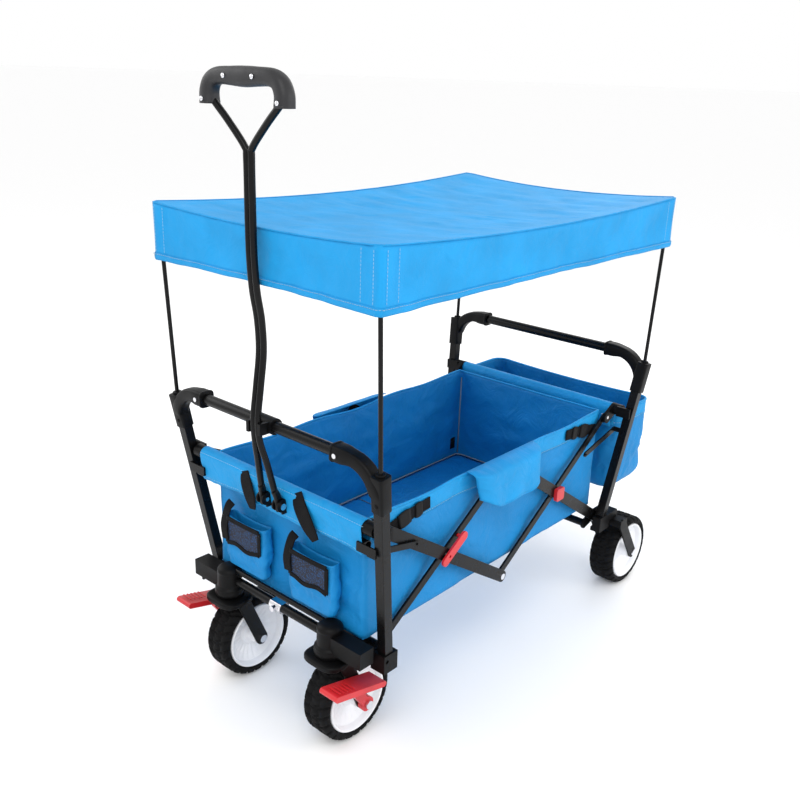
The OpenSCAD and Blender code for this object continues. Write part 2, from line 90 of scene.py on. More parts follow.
def put(name, verts, faces, mats, uvs=None, smooth=True):
    mesh = bpy.data.meshes.new(name)
    mesh.from_pydata([tuple(v) for v in verts], [], faces)
    for m in mats if isinstance(mats, (list, tuple)) else [mats]:
        mesh.materials.append(m)
    if uvs:
        layer = mesh.uv_layers.new(name="UVMap")
        for loop in mesh.loops:
            layer.data[loop.index].uv = uvs[loop.vertex_index]
    mesh.polygons.foreach_set("use_smooth", [smooth] * len(mesh.polygons))
    mesh.update()
    obj = bpy.data.objects.new(name, mesh)
    bpy.context.collection.objects.link(obj)
    return obj


def modify(obj, kind, **settings):
    mod = obj.modifiers.new(kind.lower(), kind)
    for key, value in settings.items():
        setattr(mod, key, value)
    return mod


def grid(name, point, nu, nv, mats, size, wrap=False, thick=0.0012, inner=False):
    """A cloth surface: point(u, v) for u and v from 0 to 1; size is its flat size, for the weave."""
    cols = nu if wrap else nu + 1
    verts, uvs, faces = [], [], []
    for j in range(nv + 1):
        for i in range(cols):
            u, v = i / nu, j / nv
            verts.append(point(u, v))
            uvs.append((u * size[0], v * size[1]))
    for j in range(nv):
        for i in range(nu):
            a, b = j * cols + i, j * cols + (i + 1) % cols
            faces.append((a, b, b + cols, a + cols))
    obj = put(name, verts, faces, mats, uvs)
    if thick:
        modify(obj, "SOLIDIFY", thickness=thick, offset=-1, material_offset=1 if inner else 0)
    return obj


def smooth_path(points, steps=8):
    """Catmull-Rom through the points."""
    pts = [Vector(p) for p in points]
    pts = [2 * pts[0] - pts[1]] + pts + [2 * pts[-1] - pts[-2]]
    out = []
    for i in range(1, len(pts) - 2):
        a, b, c, d = pts[i - 1:i + 3]
        for k in range(steps):
            t = k / steps
            out.append(0.5 * (2 * b + (c - a) * t + (2 * a - 5 * b + 4 * c - d) * t * t
                              + (3 * b - a - 3 * c + d) * t ** 3))
    out.append(pts[-2])
    return out


def sweep(name, path, size, mats, up=UP, square=2.0, n=16, caps=True):
    """A section swept along a path. size is (half width, half height) or a function of 0..1 giving it.
    square 2 is an ellipse, and more is closer to a rectangle."""
    up = Vector(up)
    verts, faces, uvs = [], [], []
    length = 0
    for i, p in enumerate(path):
        t = i / (len(path) - 1)
        ahead = (path[min(i + 1, len(path) - 1)] - path[max(i - 1, 0)]).normalized()
        side = ahead.cross(up)
        side = side.normalized() if side.length > 1e-4 else Vector((1, 0, 0))
        rise = side.cross(ahead).normalized()
        w, h = size(t) if callable(size) else size
        length += (p - path[i - 1]).length if i else 0
        for k in range(n):
            a = 2 * math.pi * k / n
            c, s = math.cos(a), math.sin(a)
            verts.append(p + side * w * math.copysign(abs(c) ** (2 / square), c)
                         + rise * h * math.copysign(abs(s) ** (2 / square), s))
            uvs.append((length, k / n * 2 * (w + h) * 1.5))
    for i in range(len(path) - 1):
        for k in range(n):
            a, b = i * n + k, i * n + (k + 1) % n
            faces.append((a, b, b + n, a + n))
    if caps:
        faces.append(tuple(reversed(range(n))))
        faces.append(tuple(range(len(verts) - n, len(verts))))
    return put(name, verts, faces, mats, uvs)


def lathe(name, profile, place, mats, n=96, shift=None):
    """A ring of revolution about X through place; profile is (radius, x) pairs of a closed outline."""
    verts, faces, uvs = [], [], []
    m = len(profile)
    for i in range(n):
        a = 2 * math.pi * i / n
        for r, x in profile:
            r2, x2 = shift(a, r, x) if shift else (r, x)
            verts.append(Vector(place) + Vector((x2, r2 * math.cos(a), r2 * math.sin(a))))
            uvs.append((a * 0.09, x2 + r2))
    for i in range(n):
        for k in range(m):
            a, b = i * m + k, i * m + (k + 1) % m
            c, d = (i + 1) % n * m + (k + 1) % m, (i + 1) % n * m + k
            faces.append((a, d, c, b))
    return put(name, verts, faces, mats, uvs)


def ripple(p, scale, seed=0.0):
    return noise.noise(Vector((p[0] * scale + seed, p[1] * scale - seed, p[2] * scale + 2 * seed)))


def dash_row(name, path, mat, lift, pitch=0.006, length=0.0042, r=0.0005):
    """A row of stitches along a path, each a small thread standing lift proud."""
    verts, faces = [], []
    lift = Vector(lift)
    left = 0.0
    for a, b in zip(path, path[1:]):
        step = b - a
        if step.length < 1e-6:
            continue
        ahead = step.normalized()
        side = ahead.cross(lift).normalized() * r
        while left < step.length:
            p = a + ahead * left + lift
            q = p + ahead * length
            base = len(verts)
            for end in (p, q):
                verts.extend([end + side, end + lift.normalized() * r, end - side])
            faces.extend([(base, base + 3, base + 4, base + 1), (base + 1, base + 4, base + 5, base + 2),
                          (base + 2, base + 5, base + 3, base), (base, base + 1, base + 2),
                          (base + 5, base + 4, base + 3)])
            left += pitch
        left -= step.length
    return put(name, verts, faces, mat)


def join(name, objs):
    """One object from several, with their modifiers applied."""
    graph = bpy.context.evaluated_depsgraph_get()
    verts, faces, mats, picks, uvs = [], [], [], [], []
    for o in objs:
        mesh = bpy.data.meshes.new_from_object(o.evaluated_get(graph), depsgraph=graph)
        base = len(verts)
        verts.extend(o.matrix_world @ v.co for v in mesh.vertices)
        layer = mesh.uv_layers.active
        for poly in mesh.polygons:
            faces.append([base + v for v in poly.vertices])
            m = mesh.materials[poly.material_index] if mesh.materials else None
            if m not in mats:
                mats.append(m)
            picks.append((mats.index(m), poly.use_smooth))
            uvs.extend(layer.data[i].uv.copy() if layer else (0, 0) for i in poly.loop_indices)
    out = put(name, verts, faces, mats)
    layer = out.data.uv_layers.new(name="UVMap")
    for loop, uv in zip(layer.data, uvs):
        loop.uv = uv
    for poly, (m, s) in zip(out.data.polygons, picks):
        poly.material_index = m
        poly.use_smooth = s
    for o in objs:
        bpy.data.objects.remove(o)
    return out


def rect_ring(u, hx, hy, r):
    """Point and outward normal of a rounded rectangle, the share u of the way round from its front left."""
    lengths = [2 * (hx - r), math.pi * r / 2, 2 * (hy - r), math.pi * r / 2] * 2
    s = (u % 1) * sum(lengths)
    dirs = [Vector((1, 0, 0)), Vector((0, 1, 0)), Vector((-1, 0, 0)), Vector((0, -1, 0))]
    p = Vector((-(hx - r), -hy, 0))
    for i, length in enumerate(lengths):
        ahead = dirs[i // 2]
        out = Vector((ahead.y, -ahead.x, 0))
        if s <= length or i == 7:
            if i % 2 == 0:
                return p + ahead * s, out
            a = s / r
            way = out * math.cos(a) + ahead * math.sin(a)
            return p - out * r + way * r, way
        s -= length
        p = p + ahead * length if i % 2 == 0 else p - out * r + ahead * r
    return p, out


# ---------- materials ----------


def material(name, colour, rough, metal=0.0, **sockets):
    mat = bpy.data.materials.new(name)
    mat.use_nodes = True
    shader = mat.node_tree.nodes["Principled BSDF"]
    shader.inputs["Base Color"].default_value = (*colour, 1)
    shader.inputs["Roughness"].default_value = rough
    shader.inputs["Metallic"].default_value = metal
    for key, value in sockets.items():
        shader.inputs[key.replace("_", " ")].default_value = value
    return mat, mat.node_tree, shader


def node(tree, kind, **inputs):
    made = tree.nodes.new("ShaderNode" + kind)
    for key, value in inputs.items():
        made.inputs[key.replace("_", " ")].default_value = value
    return made


def mottle(tree, shader, colour, scale, spread, uv=False):
    """Colour that varies a little with a noise; returns the texture coordinates and the noise."""
    place = node(tree, "TexCoord")
    tex = node(tree, "TexNoise", Scale=scale, Detail=4.0)
    tree.links.new(place.outputs["UV" if uv else "Object"], tex.inputs["Vector"])
    ramp = node(tree, "ValToRGB")
    dark, light = (tuple(min(1, c * (1 + s * spread)) for c in colour) for s in (-1, 1))
    ramp.color_ramp.elements[0].position = 0.3
    ramp.color_ramp.elements[0].color = (*dark, 1)
    ramp.color_ramp.elements[1].position = 0.7
    ramp.color_ramp.elements[1].color = (*light, 1)
    tree.links.new(tex.outputs["Fac"], ramp.inputs["Fac"])
    tree.links.new(ramp.outputs["Color"], shader.inputs["Base Color"])
    return place, tex


def bump(tree, shader, height, strength, distance, normal=None):
    made = node(tree, "Bump", Strength=strength, Distance=distance)
    tree.links.new(height, made.inputs["Height"])
    if normal:
        tree.links.new(normal, made.inputs["Normal"])
    tree.links.new(made.outputs["Normal"], shader.inputs["Normal"])
    return made.outputs["Normal"]


def hard(name, colour, rough, metal=0.0, grain=900.0, depth=0.00015, spread=0.25, **sockets):
    """Moulded or coated surface: fine grain in the gloss, with worn patches."""
    mat, tree, shader = material(name, colour, rough, metal, **sockets)
    place, _ = mottle(tree, shader, colour, 18.0, spread)
    fine = node(tree, "TexNoise", Scale=grain, Detail=2.0)
    tree.links.new(place.outputs["Object"], fine.inputs["Vector"])
    bump(tree, shader, fine.outputs["Fac"], 0.35, depth)
    wear = node(tree, "TexNoise", Scale=45.0, Detail=5.0)
    tree.links.new(place.outputs["Object"], wear.inputs["Vector"])
    span_ = node(tree, "MapRange", To_Min=rough * 0.75, To_Max=min(1, rough * 1.3))
    tree.links.new(wear.outputs["Fac"], span_.inputs["Value"])
    tree.links.new(span_.outputs["Result"], shader.inputs["Roughness"])
    return mat


def cloth(name, colour, thread=0.0011, crease=1.0, rough=0.62, spread=0.1):
    """Woven polyester: threads both ways in the cloth's own flat measure, and soft creases."""
    mat, tree, shader = material(name, colour, rough, Specular_IOR_Level=0.3)
    place, _ = mottle(tree, shader, colour, 9.0, spread, uv=True)
    total = None
    for direction in ("X", "Y"):
        wave = node(tree, "TexWave", Scale=1 / (2 * math.pi * thread) * 2, Distortion=0.6, Detail=1.0)
        wave.bands_direction = direction
        tree.links.new(place.outputs["UV"], wave.inputs["Vector"])
        if total is None:
            total = wave.outputs["Fac"]
        else:
            mix = node(tree, "Math")
            mix.operation = "ADD"
            tree.links.new(total, mix.inputs[0])
            tree.links.new(wave.outputs["Fac"], mix.inputs[1])
            total = mix.outputs[0]
    crumple = node(tree, "TexNoise", Scale=16.0, Detail=6.0, Distortion=0.9)
    tree.links.new(place.outputs["UV"], crumple.inputs["Vector"])
    first = bump(tree, shader, crumple.outputs["Fac"], 0.55 * crease, 0.012)
    bump(tree, shader, total, 0.25, 0.0002, first)
    return mat


def webbing(name, colour):
    """Ribbed narrow webbing."""
    mat, tree, shader = material(name, colour, 0.75, Specular_IOR_Level=0.12)
    place, _ = mottle(tree, shader, colour, 40.0, 0.3)
    wave = node(tree, "TexWave", Scale=260.0, Distortion=1.0)
    wave.bands_direction = "DIAGONAL"
    tree.links.new(place.outputs["Object"], wave.inputs["Vector"])
    bump(tree, shader, wave.outputs["Fac"], 0.5, 0.0004)
    return mat


STEEL = hard("steel", (0.003, 0.003, 0.0033), 0.28, grain=700.0, Specular_IOR_Level=0.18)
PLASTIC = hard("plastic", (0.0035, 0.0035, 0.0038), 0.42, depth=0.0002, Specular_IOR_Level=0.12)
GRIP = hard("grip_plastic", (0.014, 0.014, 0.016), 0.5, depth=0.0003, Specular_IOR_Level=0.4)
CHROME = hard("chrome", (0.72, 0.72, 0.75), 0.18, 1.0, spread=0.08)
RED = hard("red", (0.56, 0.018, 0.024), 0.33, depth=0.0001, spread=0.12)
WHITE = hard("white", (0.82, 0.83, 0.86), 0.36, depth=0.0001, spread=0.03)
RUBBER = hard("rubber", (0.006, 0.006, 0.0065), 0.7, grain=420.0, depth=0.0005, Specular_IOR_Level=0.1)
CANOPY = cloth("canopy_cloth", (0.003, 0.285, 0.64), crease=0.8)
TUB = cloth("tub_cloth", (0.001, 0.21, 0.52), crease=1.0)
# Inside of the tub, bag, pockets and floor pad: the tub cloth made a little darker, as painted shade for the
# inside.
TUB_INSIDE_SHADED = cloth("tub_cloth_painted_shade", (0.001, 0.20, 0.50), crease=1.0)
HEM = cloth("hem_cloth", (0.003, 0.27, 0.61), crease=1.3)
THREAD = cloth("thread", (0.30, 0.50, 0.66), crease=0.0, rough=0.8)
PIPING = cloth("piping", (0.22, 0.27, 0.33), crease=0.0, rough=0.8)
WEB = webbing("webbing", (0.005, 0.005, 0.006))


def mesh_cloth():
    """Open net: threads with holes between them."""
    mat, tree, shader = material("net", (0.012, 0.03, 0.10), 0.8)
    place = node(tree, "TexCoord")
    cells = node(tree, "TexVoronoi", Scale=420.0)
    tree.links.new(place.outputs["UV"], cells.inputs["Vector"])
    ramp = node(tree, "ValToRGB")
    ramp.color_ramp.elements[0].position = 0.28
    ramp.color_ramp.elements[0].color = (0.006, 0.07, 0.22, 1)
    ramp.color_ramp.elements[1].position = 0.42
    ramp.color_ramp.elements[1].color = (0.008, 0.010, 0.022, 1)
    tree.links.new(cells.outputs["Distance"], ramp.inputs["Fac"])
    tree.links.new(ramp.outputs["Color"], shader.inputs["Base Color"])
    bump(tree, shader, cells.outputs["Distance"], 0.6, 0.0006)
    return mat


NET = mesh_cloth()

NODE_LOOK = {
    "steel": STEEL, "plastic": PLASTIC, "chrome": CHROME, "red": RED, "white": WHITE,
    "tread": RUBBER, "tub_cloth": TUB, "canopy_cloth": CANOPY, "board": TUB_INSIDE_SHADED,
}
for part in frame["record"]["subparts"]:
    mesh = frame["nodes"][part["node"]].data
    for i in range(max(1, len(mesh.materials))):
        if len(mesh.materials) == 0:
            mesh.materials.append(NODE_LOOK[part["material_slot"]])
        else:
            mesh.materials[i] = NODE_LOOK[part["material_slot"]]

# ---------- canopy ----------


def canopy():
    hx = (TOP_HIGH.x - TOP_LOW.x) / 2
    hy = (TOP_HIGH.y - TOP_LOW.y) / 2
    top, low = TOP_HIGH.z, TOP_LOW.z
    corner = 0.010
    bow, side_bow, dip = 0.014, 0.006, 0.017
    cy = (TOP_HIGH.y + TOP_LOW.y) / 2

    def edge(u, v):
        """Round the rim at height share v, 1 at the top."""
        p, n = rect_ring(u, hx, hy, corner)
        a, b = abs(p.x) / hx, abs(p.y) / hy
        across = abs(n.y) > abs(n.x)
        pull = bow * (1 - a * a) if across else side_bow * (1 - b * b)
        rise = top - dip * ((1 - b * b) if not across else 0.75 * (1 - a * a))
        z = low + (rise - low) * v
        near_corner = min(1, 8 * min(1 - a, 1) + 8 * min(1 - b, 1))
        fold = max(0, ripple((p.x * 1.5, p.y * 1.5, z * 0.9), 11, 3.1)) * 0.009
        fold += max(0, ripple((p.x * 3.4, p.y * 3.4, z * 1.2), 14, 7.7)) * 0.005
        hang = math.sin(math.pi * min(1, v * 1.05)) * 0.004
        inward = pull + near_corner * (fold + hang) * (0.35 + 0.65 * math.sin(math.pi * min(1, v)))
        q = p - n * inward
        return Vector((q.x, cy + q.y, z + near_corner * 0.0018 * ripple((p.x, p.y, 0), 16, 1.0) * (1 - v)))

    walls = grid("canopy_walls", edge, 288, 12, CANOPY, (3.05, top - low), wrap=True, thick=0)

    def roof(u, v):
        """From the rim inwards, ring by ring."""
        rim = edge(u, 1)
        k = 1 - v
        x, y = rim.x * k, cy + (rim.y - cy) * k
        a, b = x / hx, (y - cy) / hy
        sag = dip * (1 - b * b) + 0.75 * dip * (1 - a * a)
        crease = 0.0035 * ripple((x * 0.7, y * 2.6, 0), 9, 5.0) + 0.0018 * ripple((x, y * 3.5, 0), 17, 2.0)
        flat = top - sag + crease * min(1, 6 * v)
        return Vector((x, y, flat * min(1, 8 * v) + rim.z * (1 - min(1, 8 * v))))

    roof_obj = grid("canopy_roof", roof, 288, 40, CANOPY, (3.05, 0.3), wrap=True, thick=0)
    # flat measure for the weave on the roof: its own x and y
    layer = roof_obj.data.uv_layers[0]
    for loop in roof_obj.data.loops:
        co = roof_obj.data.vertices[loop.vertex_index].co
        layer.data[loop.index].uv = (co.x, co.y)
    whole = join("canopy_sheet", [walls, roof_obj])
    bm = bmesh.new()
    bm.from_mesh(whole.data)
    bmesh.ops.remove_doubles(bm, verts=bm.verts, dist=0.0004)
    bmesh.ops.dissolve_degenerate(bm, edges=bm.edges, dist=1e-5)
    bmesh.ops.recalc_face_normals(bm, faces=bm.faces)
    bm.to_mesh(whole.data)
    bm.free()
    modify(whole, "SOLIDIFY", thickness=0.0012, offset=-1)
    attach(whole, "rear_frame")
    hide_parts("canopy")

    def hem(u, v):
        p = edge(u, 0.13 * v)
        _, n = rect_ring(u, hx, hy, corner)
        puff = 0.0016 * math.sin(math.pi * min(1, max(0.0, v * 1.02))) + 0.0008
        return p + n * puff

    band = grid("canopy_hem", hem, 288, 6, HEM, (3.05, 0.014), wrap=True, thick=0.0010)
    ring = [hem(i / 288, 0.8) for i in range(289)]
    rows = []
    for i, (a, b) in enumerate(zip(ring, ring[1:])):
        _, n = rect_ring(i / 288, hx, hy, corner)
        rows.append(dash_row(f"row{i}", [a, b], THREAD, n * 0.0008, pitch=0.0055, length=0.0036))
    stitches = join("canopy_hem_stitches", rows)
    seam = [edge(i / 144, 1) + UP * 0.0004 for i in range(145)]
    piping = sweep("canopy_seam", seam, (0.0016, 0.0016), HEM, n=6, caps=False)
    corners = []
    for sx in (-1, 1):
        for sy in (-1, 1):
            for k, inset in enumerate((0.004, 0.030)):
                px, py = sx * (hx + 0.0009), sy * (hy - inset - corner)
                line = [Vector((px - sx * 0.0006, cy + py, z)) for z in (low + 0.018, top - 0.006)]
                corners.append(dash_row("c", line, THREAD, (sx * 0.0006, 0, 0)))
                px, py = sx * (hx - inset - corner), sy * (hy + 0.0009)
                line = [Vector((px, cy + py - sy * 0.0006, z)) for z in (low + 0.018, top - 0.006)]
                corners.append(dash_row("c", line, THREAD, (0, sy * 0.0006, 0)))
    pockets = join("canopy_corner_stitches", corners)
    for piece in (band, stitches, piping, pockets):
        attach(piece, "rear_frame")
    for piece in (whole, band, stitches, piping, pockets):
        squash_along(piece)


def squash_along(piece):
    """Gives the piece its own copy of its mesh."""
    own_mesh(piece)


canopy()

# ---------- tub ----------

TUB_HX = (TUB_HIGH.x - TUB_LOW.x) / 2
TUB_HY = (TUB_HIGH.y - TUB_LOW.y) / 2
TUB_CY = (TUB_HIGH.y + TUB_LOW.y) / 2


def tub_wall(u, v):
    """Tub's outside, v from the floor to the rim."""
    p, n = rect_ring(u, TUB_HX - 0.0005, TUB_HY - 0.0005, TUB_CORNER)
    b = p.y / TUB_HY
    long_side = abs(n.x) > abs(n.y)
    slack = 0.010 * (1 - b * b) * (0.6 + 0.4 * math.cos(3 * math.pi * b)) if long_side else 0.004
    z = TUB_LOW.z + (TUB_HIGH.z - slack - TUB_LOW.z) * v
    edge = min(1, 10 * (1 - abs(p.x) / TUB_HX) + 10 * (1 - abs(p.y) / TUB_HY))
    folds = max(0, ripple((p.x * 1.2, p.y * 1.2, z * 2.2), 9, 4.4)) * 0.010
    folds += max(0, ripple((p.x + z, p.y + z, z), 26, 9.1)) * 0.005 * (0.4 + 0.6 * v)
    belly = 0.004 * math.sin(math.pi * v)
    q = p - n * (edge * (folds * math.sin(math.pi * min(1, 0.15 + 0.8 * v)) + belly))
    return Vector((q.x, TUB_CY + q.y, z))


def tub():
    girth = 4 * (TUB_HX + TUB_HY)
    height = TUB_HIGH.z - TUB_LOW.z
    walls = grid("tub_walls", tub_wall, 320, 26, [TUB, TUB_INSIDE_SHADED], (girth, height), wrap=True,
                 thick=0.0016, inner=True)
    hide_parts("tub")

    def under(u, v):
        x, y = (u * 2 - 1) * (TUB_HX - 0.003), (v * 2 - 1) * (TUB_HY - 0.003)
        return Vector((x, TUB_CY + y, TUB_LOW.z + 0.0006 + 0.0006 * ripple((x, y, 0), 20)))

    base = grid("tub_underside", under, 24, 44, TUB, (2 * TUB_HX, 2 * TUB_HY), thick=0.0012)

    def pad(u, v):
        x, y = (u * 2 - 1) * (TUB_HX - 0.010), (v * 2 - 1) * (TUB_HY - 0.012)
        groove = math.exp(-(y / 0.006) ** 2) * 0.0020
        rim = min(1, 14 * (1 - abs(u * 2 - 1))) * min(1, 26 * (1 - abs(v * 2 - 1)))
        puff = 0.0032 * rim + 0.0014 * ripple((x, y, 0), 12, 6.0) * rim
        return Vector((x, TUB_CY + y, BOARD_TOP + 0.0006 + puff - groove))

    mat = grid("floor_pad", pad, 36, 72, TUB_INSIDE_SHADED, (2 * TUB_HX, 2 * TUB_HY), thick=0.0028)
    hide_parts("floor_boards")

    def band(u, v):
        """Doubled hem round the rim, outside and over the top."""
        p = tub_wall(u, 1 - 0.17 * (1 - v))
        _, n = rect_ring(u, TUB_HX, TUB_HY, TUB_CORNER)
        return p + n * (0.0010 + 0.0008 * math.sin(math.pi * v))

    hem = grid("tub_hem", band, 320, 5, [HEM, HEM], (girth, 0.045), wrap=True, thick=0.001)
    lip_path = [tub_wall(i / 160, 1) - rect_ring(i / 160, TUB_HX, TUB_HY, TUB_CORNER)[1] * 0.0006
                for i in range(161)]
    lip = sweep("tub_lip", lip_path, (0.0026, 0.0022), HEM, n=8, caps=False)

    inner = []
    inset = 0.0036
    for sx in (-1, 1):
        for sy in (-1, 1):
            line = [Vector((sx * (TUB_HX - inset - 0.004), TUB_CY + sy * (TUB_HY - inset - 0.004), z))
                    for z in (TUB_LOW.z + 0.012, TUB_HIGH.z - 0.02)]
            inner.append(sweep("pipe", line, (PIPE_R, PIPE_R), PIPING, up=(0, 1, 0), n=8))
    floor_line = [Vector((p.x, TUB_CY + p.y, BOARD_TOP + 0.003)) for p in
                  (rect_ring(i / 120, TUB_HX - 0.008, TUB_HY - 0.008, TUB_CORNER)[0] for i in range(121))]
    inner.append(sweep("pipe", floor_line, (PIPE_R, PIPE_R), PIPING, n=8, caps=False))
    inner.append(sweep("pipe", [Vector((x, TUB_CY, BOARD_TOP + 0.0028))
                                for x in (-TUB_HX + 0.02, TUB_HX - 0.02)], (0.0016, 0.0012), PIPING, n=8))
    pipes = join("tub_piping", inner)
    rows = []
    for i in range(240):
        if i % 2:
            continue
        a, b = tub_wall(i / 240, 0.845), tub_wall((i + 1.8) / 240, 0.845)
        n = rect_ring(i / 240, TUB_HX, TUB_HY, TUB_CORNER)[1]
        rows.append(dash_row("r", [a, b], THREAD, n * 0.0014))
    seams = join("tub_stitches", rows)
    tabs = []
    for sy in (-1, 1):
        tab = [Vector((-TUB_HX + 0.006, TUB_CY + sy * (TUB_HY - 0.03), TUB_LOW.z + z))
               for z in (0.03, 0.06)]
        tabs.append(sweep("tab", tab, (0.009, 0.0012), WEB, up=(1, 0, 0), square=6, n=12))
    tabs = join("tub_tabs", tabs)
    for piece in (walls, base, mat, hem, lip, pipes, seams, tabs):
        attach(piece, "rear_slider")
        squash_along(piece)


tub()


def sleeve(end):
    """The tub's end hem, wrapped round the fabric rail and hanging below it."""
    rail = RAIL[end]
    s = ENDS[end]
    half = 0.225
    drop = 0.052 if end == "front" else 0.046
    r = 0.0135
    arc = math.pi * r

    def point(u, v):
        x = (u * 2 - 1) * half
        wave = 0.0035 * ripple((x * 3, s, v), 7, 2.0) + 0.002 * ripple((x * 9, s, v * 2), 9, 5.0)
        ends = 1 + 0.05 * (abs(u * 2 - 1) ** 8)
        hang = drop * (1 + 0.10 * math.sin(x * 23 + 1) * 0.6)
        total = arc + 2 * hang
        d = v * total
        if d < hang:
            k = d / hang
            y, z = -s * (r - 0.006 * (1 - k)), -(hang - d)
        elif d < hang + arc:
            a = (d - hang) / r
            y, z = -s * r * math.cos(a), r * math.sin(a)
        else:
            k = (d - hang - arc) / hang
            y, z = s * (r - 0.006 * k - wave * k), -(d - hang - arc)
        return Vector((x, rail.y + y * ends, rail.z + z))

    total = arc + 2 * drop
    piece = grid(f"{end}_sleeve", point, 90, 30, HEM, (2 * half, total), thick=0.0012)
    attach(piece, f"{end}_slider")
    rows = []
    for v in (0.6, 0.955):
        line = [point(i / 60, v) for i in range(61)]
        rows.append(dash_row("r", line, THREAD, (0, s * 0.0012, 0)))
    seams = join(f"{end}_sleeve_stitches", rows)
    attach(seams, f"{end}_slider")


for end in ENDS:
    sleeve(end)

# ---------- rear bag and front pockets ----------


def bag_point(low, high, r, belly, seed):
    """A soft open bag in the box low..high: v from the middle of its bottom to its rim."""
    hx, hy = (high.x - low.x) / 2, (high.y - low.y) / 2
    cx, cy = (high.x + low.x) / 2, (high.y + low.y) / 2
    height = high.z - low.z

    def point(u, v):
        p, n = rect_ring(u, hx, hy, r)
        if v < 0.25:
            k = v / 0.25
            q = p * (0.04 + 0.90 * k)
            z = low.z + height * 0.035 * k ** 3 - 0.002 * (1 - k)
        else:
            w = (v - 0.25) / 0.75
            round_in = 0.06 * max(0.0, 1 - w / 0.16) ** 2
            edge = min(1, 6 * (1 - abs(p.x) / hx) + 6 * (1 - abs(p.y) / hy))
            swell = belly * math.sin(math.pi * min(1, 0.1 + w * 0.95)) ** 2 * edge
            fold = 0.010 * max(0, ripple((p.x * 2 + seed, p.y * 2, w * 0.25), 11, seed))
            fold += 0.006 * abs(ripple((p.x * 4, p.y * 4 + seed, w * 0.5), 14, 3 + seed))
            q = p * (1 - round_in) + n * (swell - fold * math.sin(math.pi * min(1, w + 0.1)))
            z = low.z + height * (0.035 + 0.965 * w) - 0.006 * edge * w * (1 - abs(p.x / hx) ** 2)
        return Vector((cx + q.x, cy + q.y, z))
    return point, 4 * (hx + hy)


def rear_bag():
    point, girth = bag_point(BAG_LOW, BAG_HIGH, BAG_CORNER, 0.006, 2.3)
    height = BAG_HIGH.z - BAG_LOW.z
    shell = grid("rear_bag_shell", point, 200, 32, [TUB, TUB_INSIDE_SHADED], (girth, height * 1.3), wrap=True,
                 thick=0.0016, inner=True)
    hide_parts("rear_bag")

    def band(u, v):
        p = point(u, 1 - 0.13 * (1 - v))
        n = rect_ring(u, *BAG_HALF, BAG_CORNER)[1]
        return p + n * 0.0014

    hem = grid("rear_bag_hem", band, 200, 4, HEM, (girth, 0.03), wrap=True, thick=0.001)
    lip = sweep("rear_bag_lip", [point(i / 100, 1) for i in range(101)], (0.003, 0.0026), HEM, n=8,
                caps=False)
    rows = [dash_row("r", [point(i / 100, 0.885), point((i + 0.9) / 100, 0.885)], THREAD,
                     rect_ring(i / 100, *BAG_HALF, BAG_CORNER)[1] * 0.002) for i in range(100)]
    seams = join("rear_bag_stitches", rows)
    back = BAG_LOW.y
    hangers = []
    for s in (-1, 1):
        for x in (0.19, 0.06):
            path = [(s * x, back + 0.002, BAG_HIGH.z - 0.05), (s * x, back - 0.002, BAG_HIGH.z - 0.01),
                    (s * x, RAIL["rear"].y + 0.016, RAIL["rear"].z - 0.004),
                    (s * x, RAIL["rear"].y + 0.015, RAIL["rear"].z + 0.004)]
            hangers.append(sweep("h", smooth_path(path, 5), (STRAP_HALF, STRAP_THICK), WEB, up=(0, -1, 0.2),
                                 square=6, n=12))
    hangers = join("rear_bag_hangers", hangers)
    for piece in (shell, hem, lip, seams, hangers):
        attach(piece, "rear_frame")


def front_pocket(side):
    s = SIDES[side]
    low, high = (Vector(c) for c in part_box("front_pockets"))
    inner = 0.035
    a = Vector((inner if s > 0 else low.x, low.y, low.z))
    b = Vector((high.x if s > 0 else -inner, high.y, high.z))
    point, girth = bag_point(a, b, 0.009, 0.004, 5.0 + s)
    shell = grid(f"pocket_{side}", point, 120, 28, [TUB, TUB_INSIDE_SHADED], (girth, 0.15), wrap=True, inner=True)
    hx, front = (b.x - a.x) / 2, a.y - 0.0048
    cx, top = (a.x + b.x) / 2, b.z - 0.006

    def window(u, v):
        x = (u * 2 - 1) * (hx - 0.010)
        return Vector((cx + x, front - 0.0012 * math.sin(math.pi * u), top - 0.052 * (1 - v)
                       + 0.003 * math.sin(u * 9 + s) * (1 - v)))

    net = grid(f"pocket_net_{side}", window, 24, 10, NET, (0.1, 0.05), thick=0.0008)
    trims = []
    for v, half in ((1.0, 0.0050), (0.0, 0.0045)):
        trims.append(sweep("t", [window(i / 30, v) + Vector((0, -0.0006, 0)) for i in range(31)],
                           (half, 0.0012), WEB, up=(0, -1, 0), square=5, n=12))
    for u in (0.0, 1.0):
        trims.append(sweep("t", [window(u, i / 8) + Vector((0, -0.0004, 0)) for i in range(9)],
                           (0.0045, 0.0012), WEB, up=(0, -1, 0), square=5, n=12))
    strap = [window(0.0, 0) + Vector((-0.004, -0.002, 0.006)), window(0, 0.7) + Vector((-0.006, -0.003, 0)),
             Vector((cx - hx + 0.006, front + 0.006, top + 0.018)),
             Vector((cx - hx + 0.010, front + 0.014, top + 0.03))]
    trims.append(sweep("t", smooth_path(strap, 5), (0.010, 0.0012), WEB, up=(0, -1, 0), square=6, n=12))
    trim = join(f"pocket_trim_{side}", trims)
    for piece in (shell, net, trim):
        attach(piece, "front_slider")
    if s > 0:
        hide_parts("front_pockets")


rear_bag()
for side in SIDES:
    front_pocket(side)


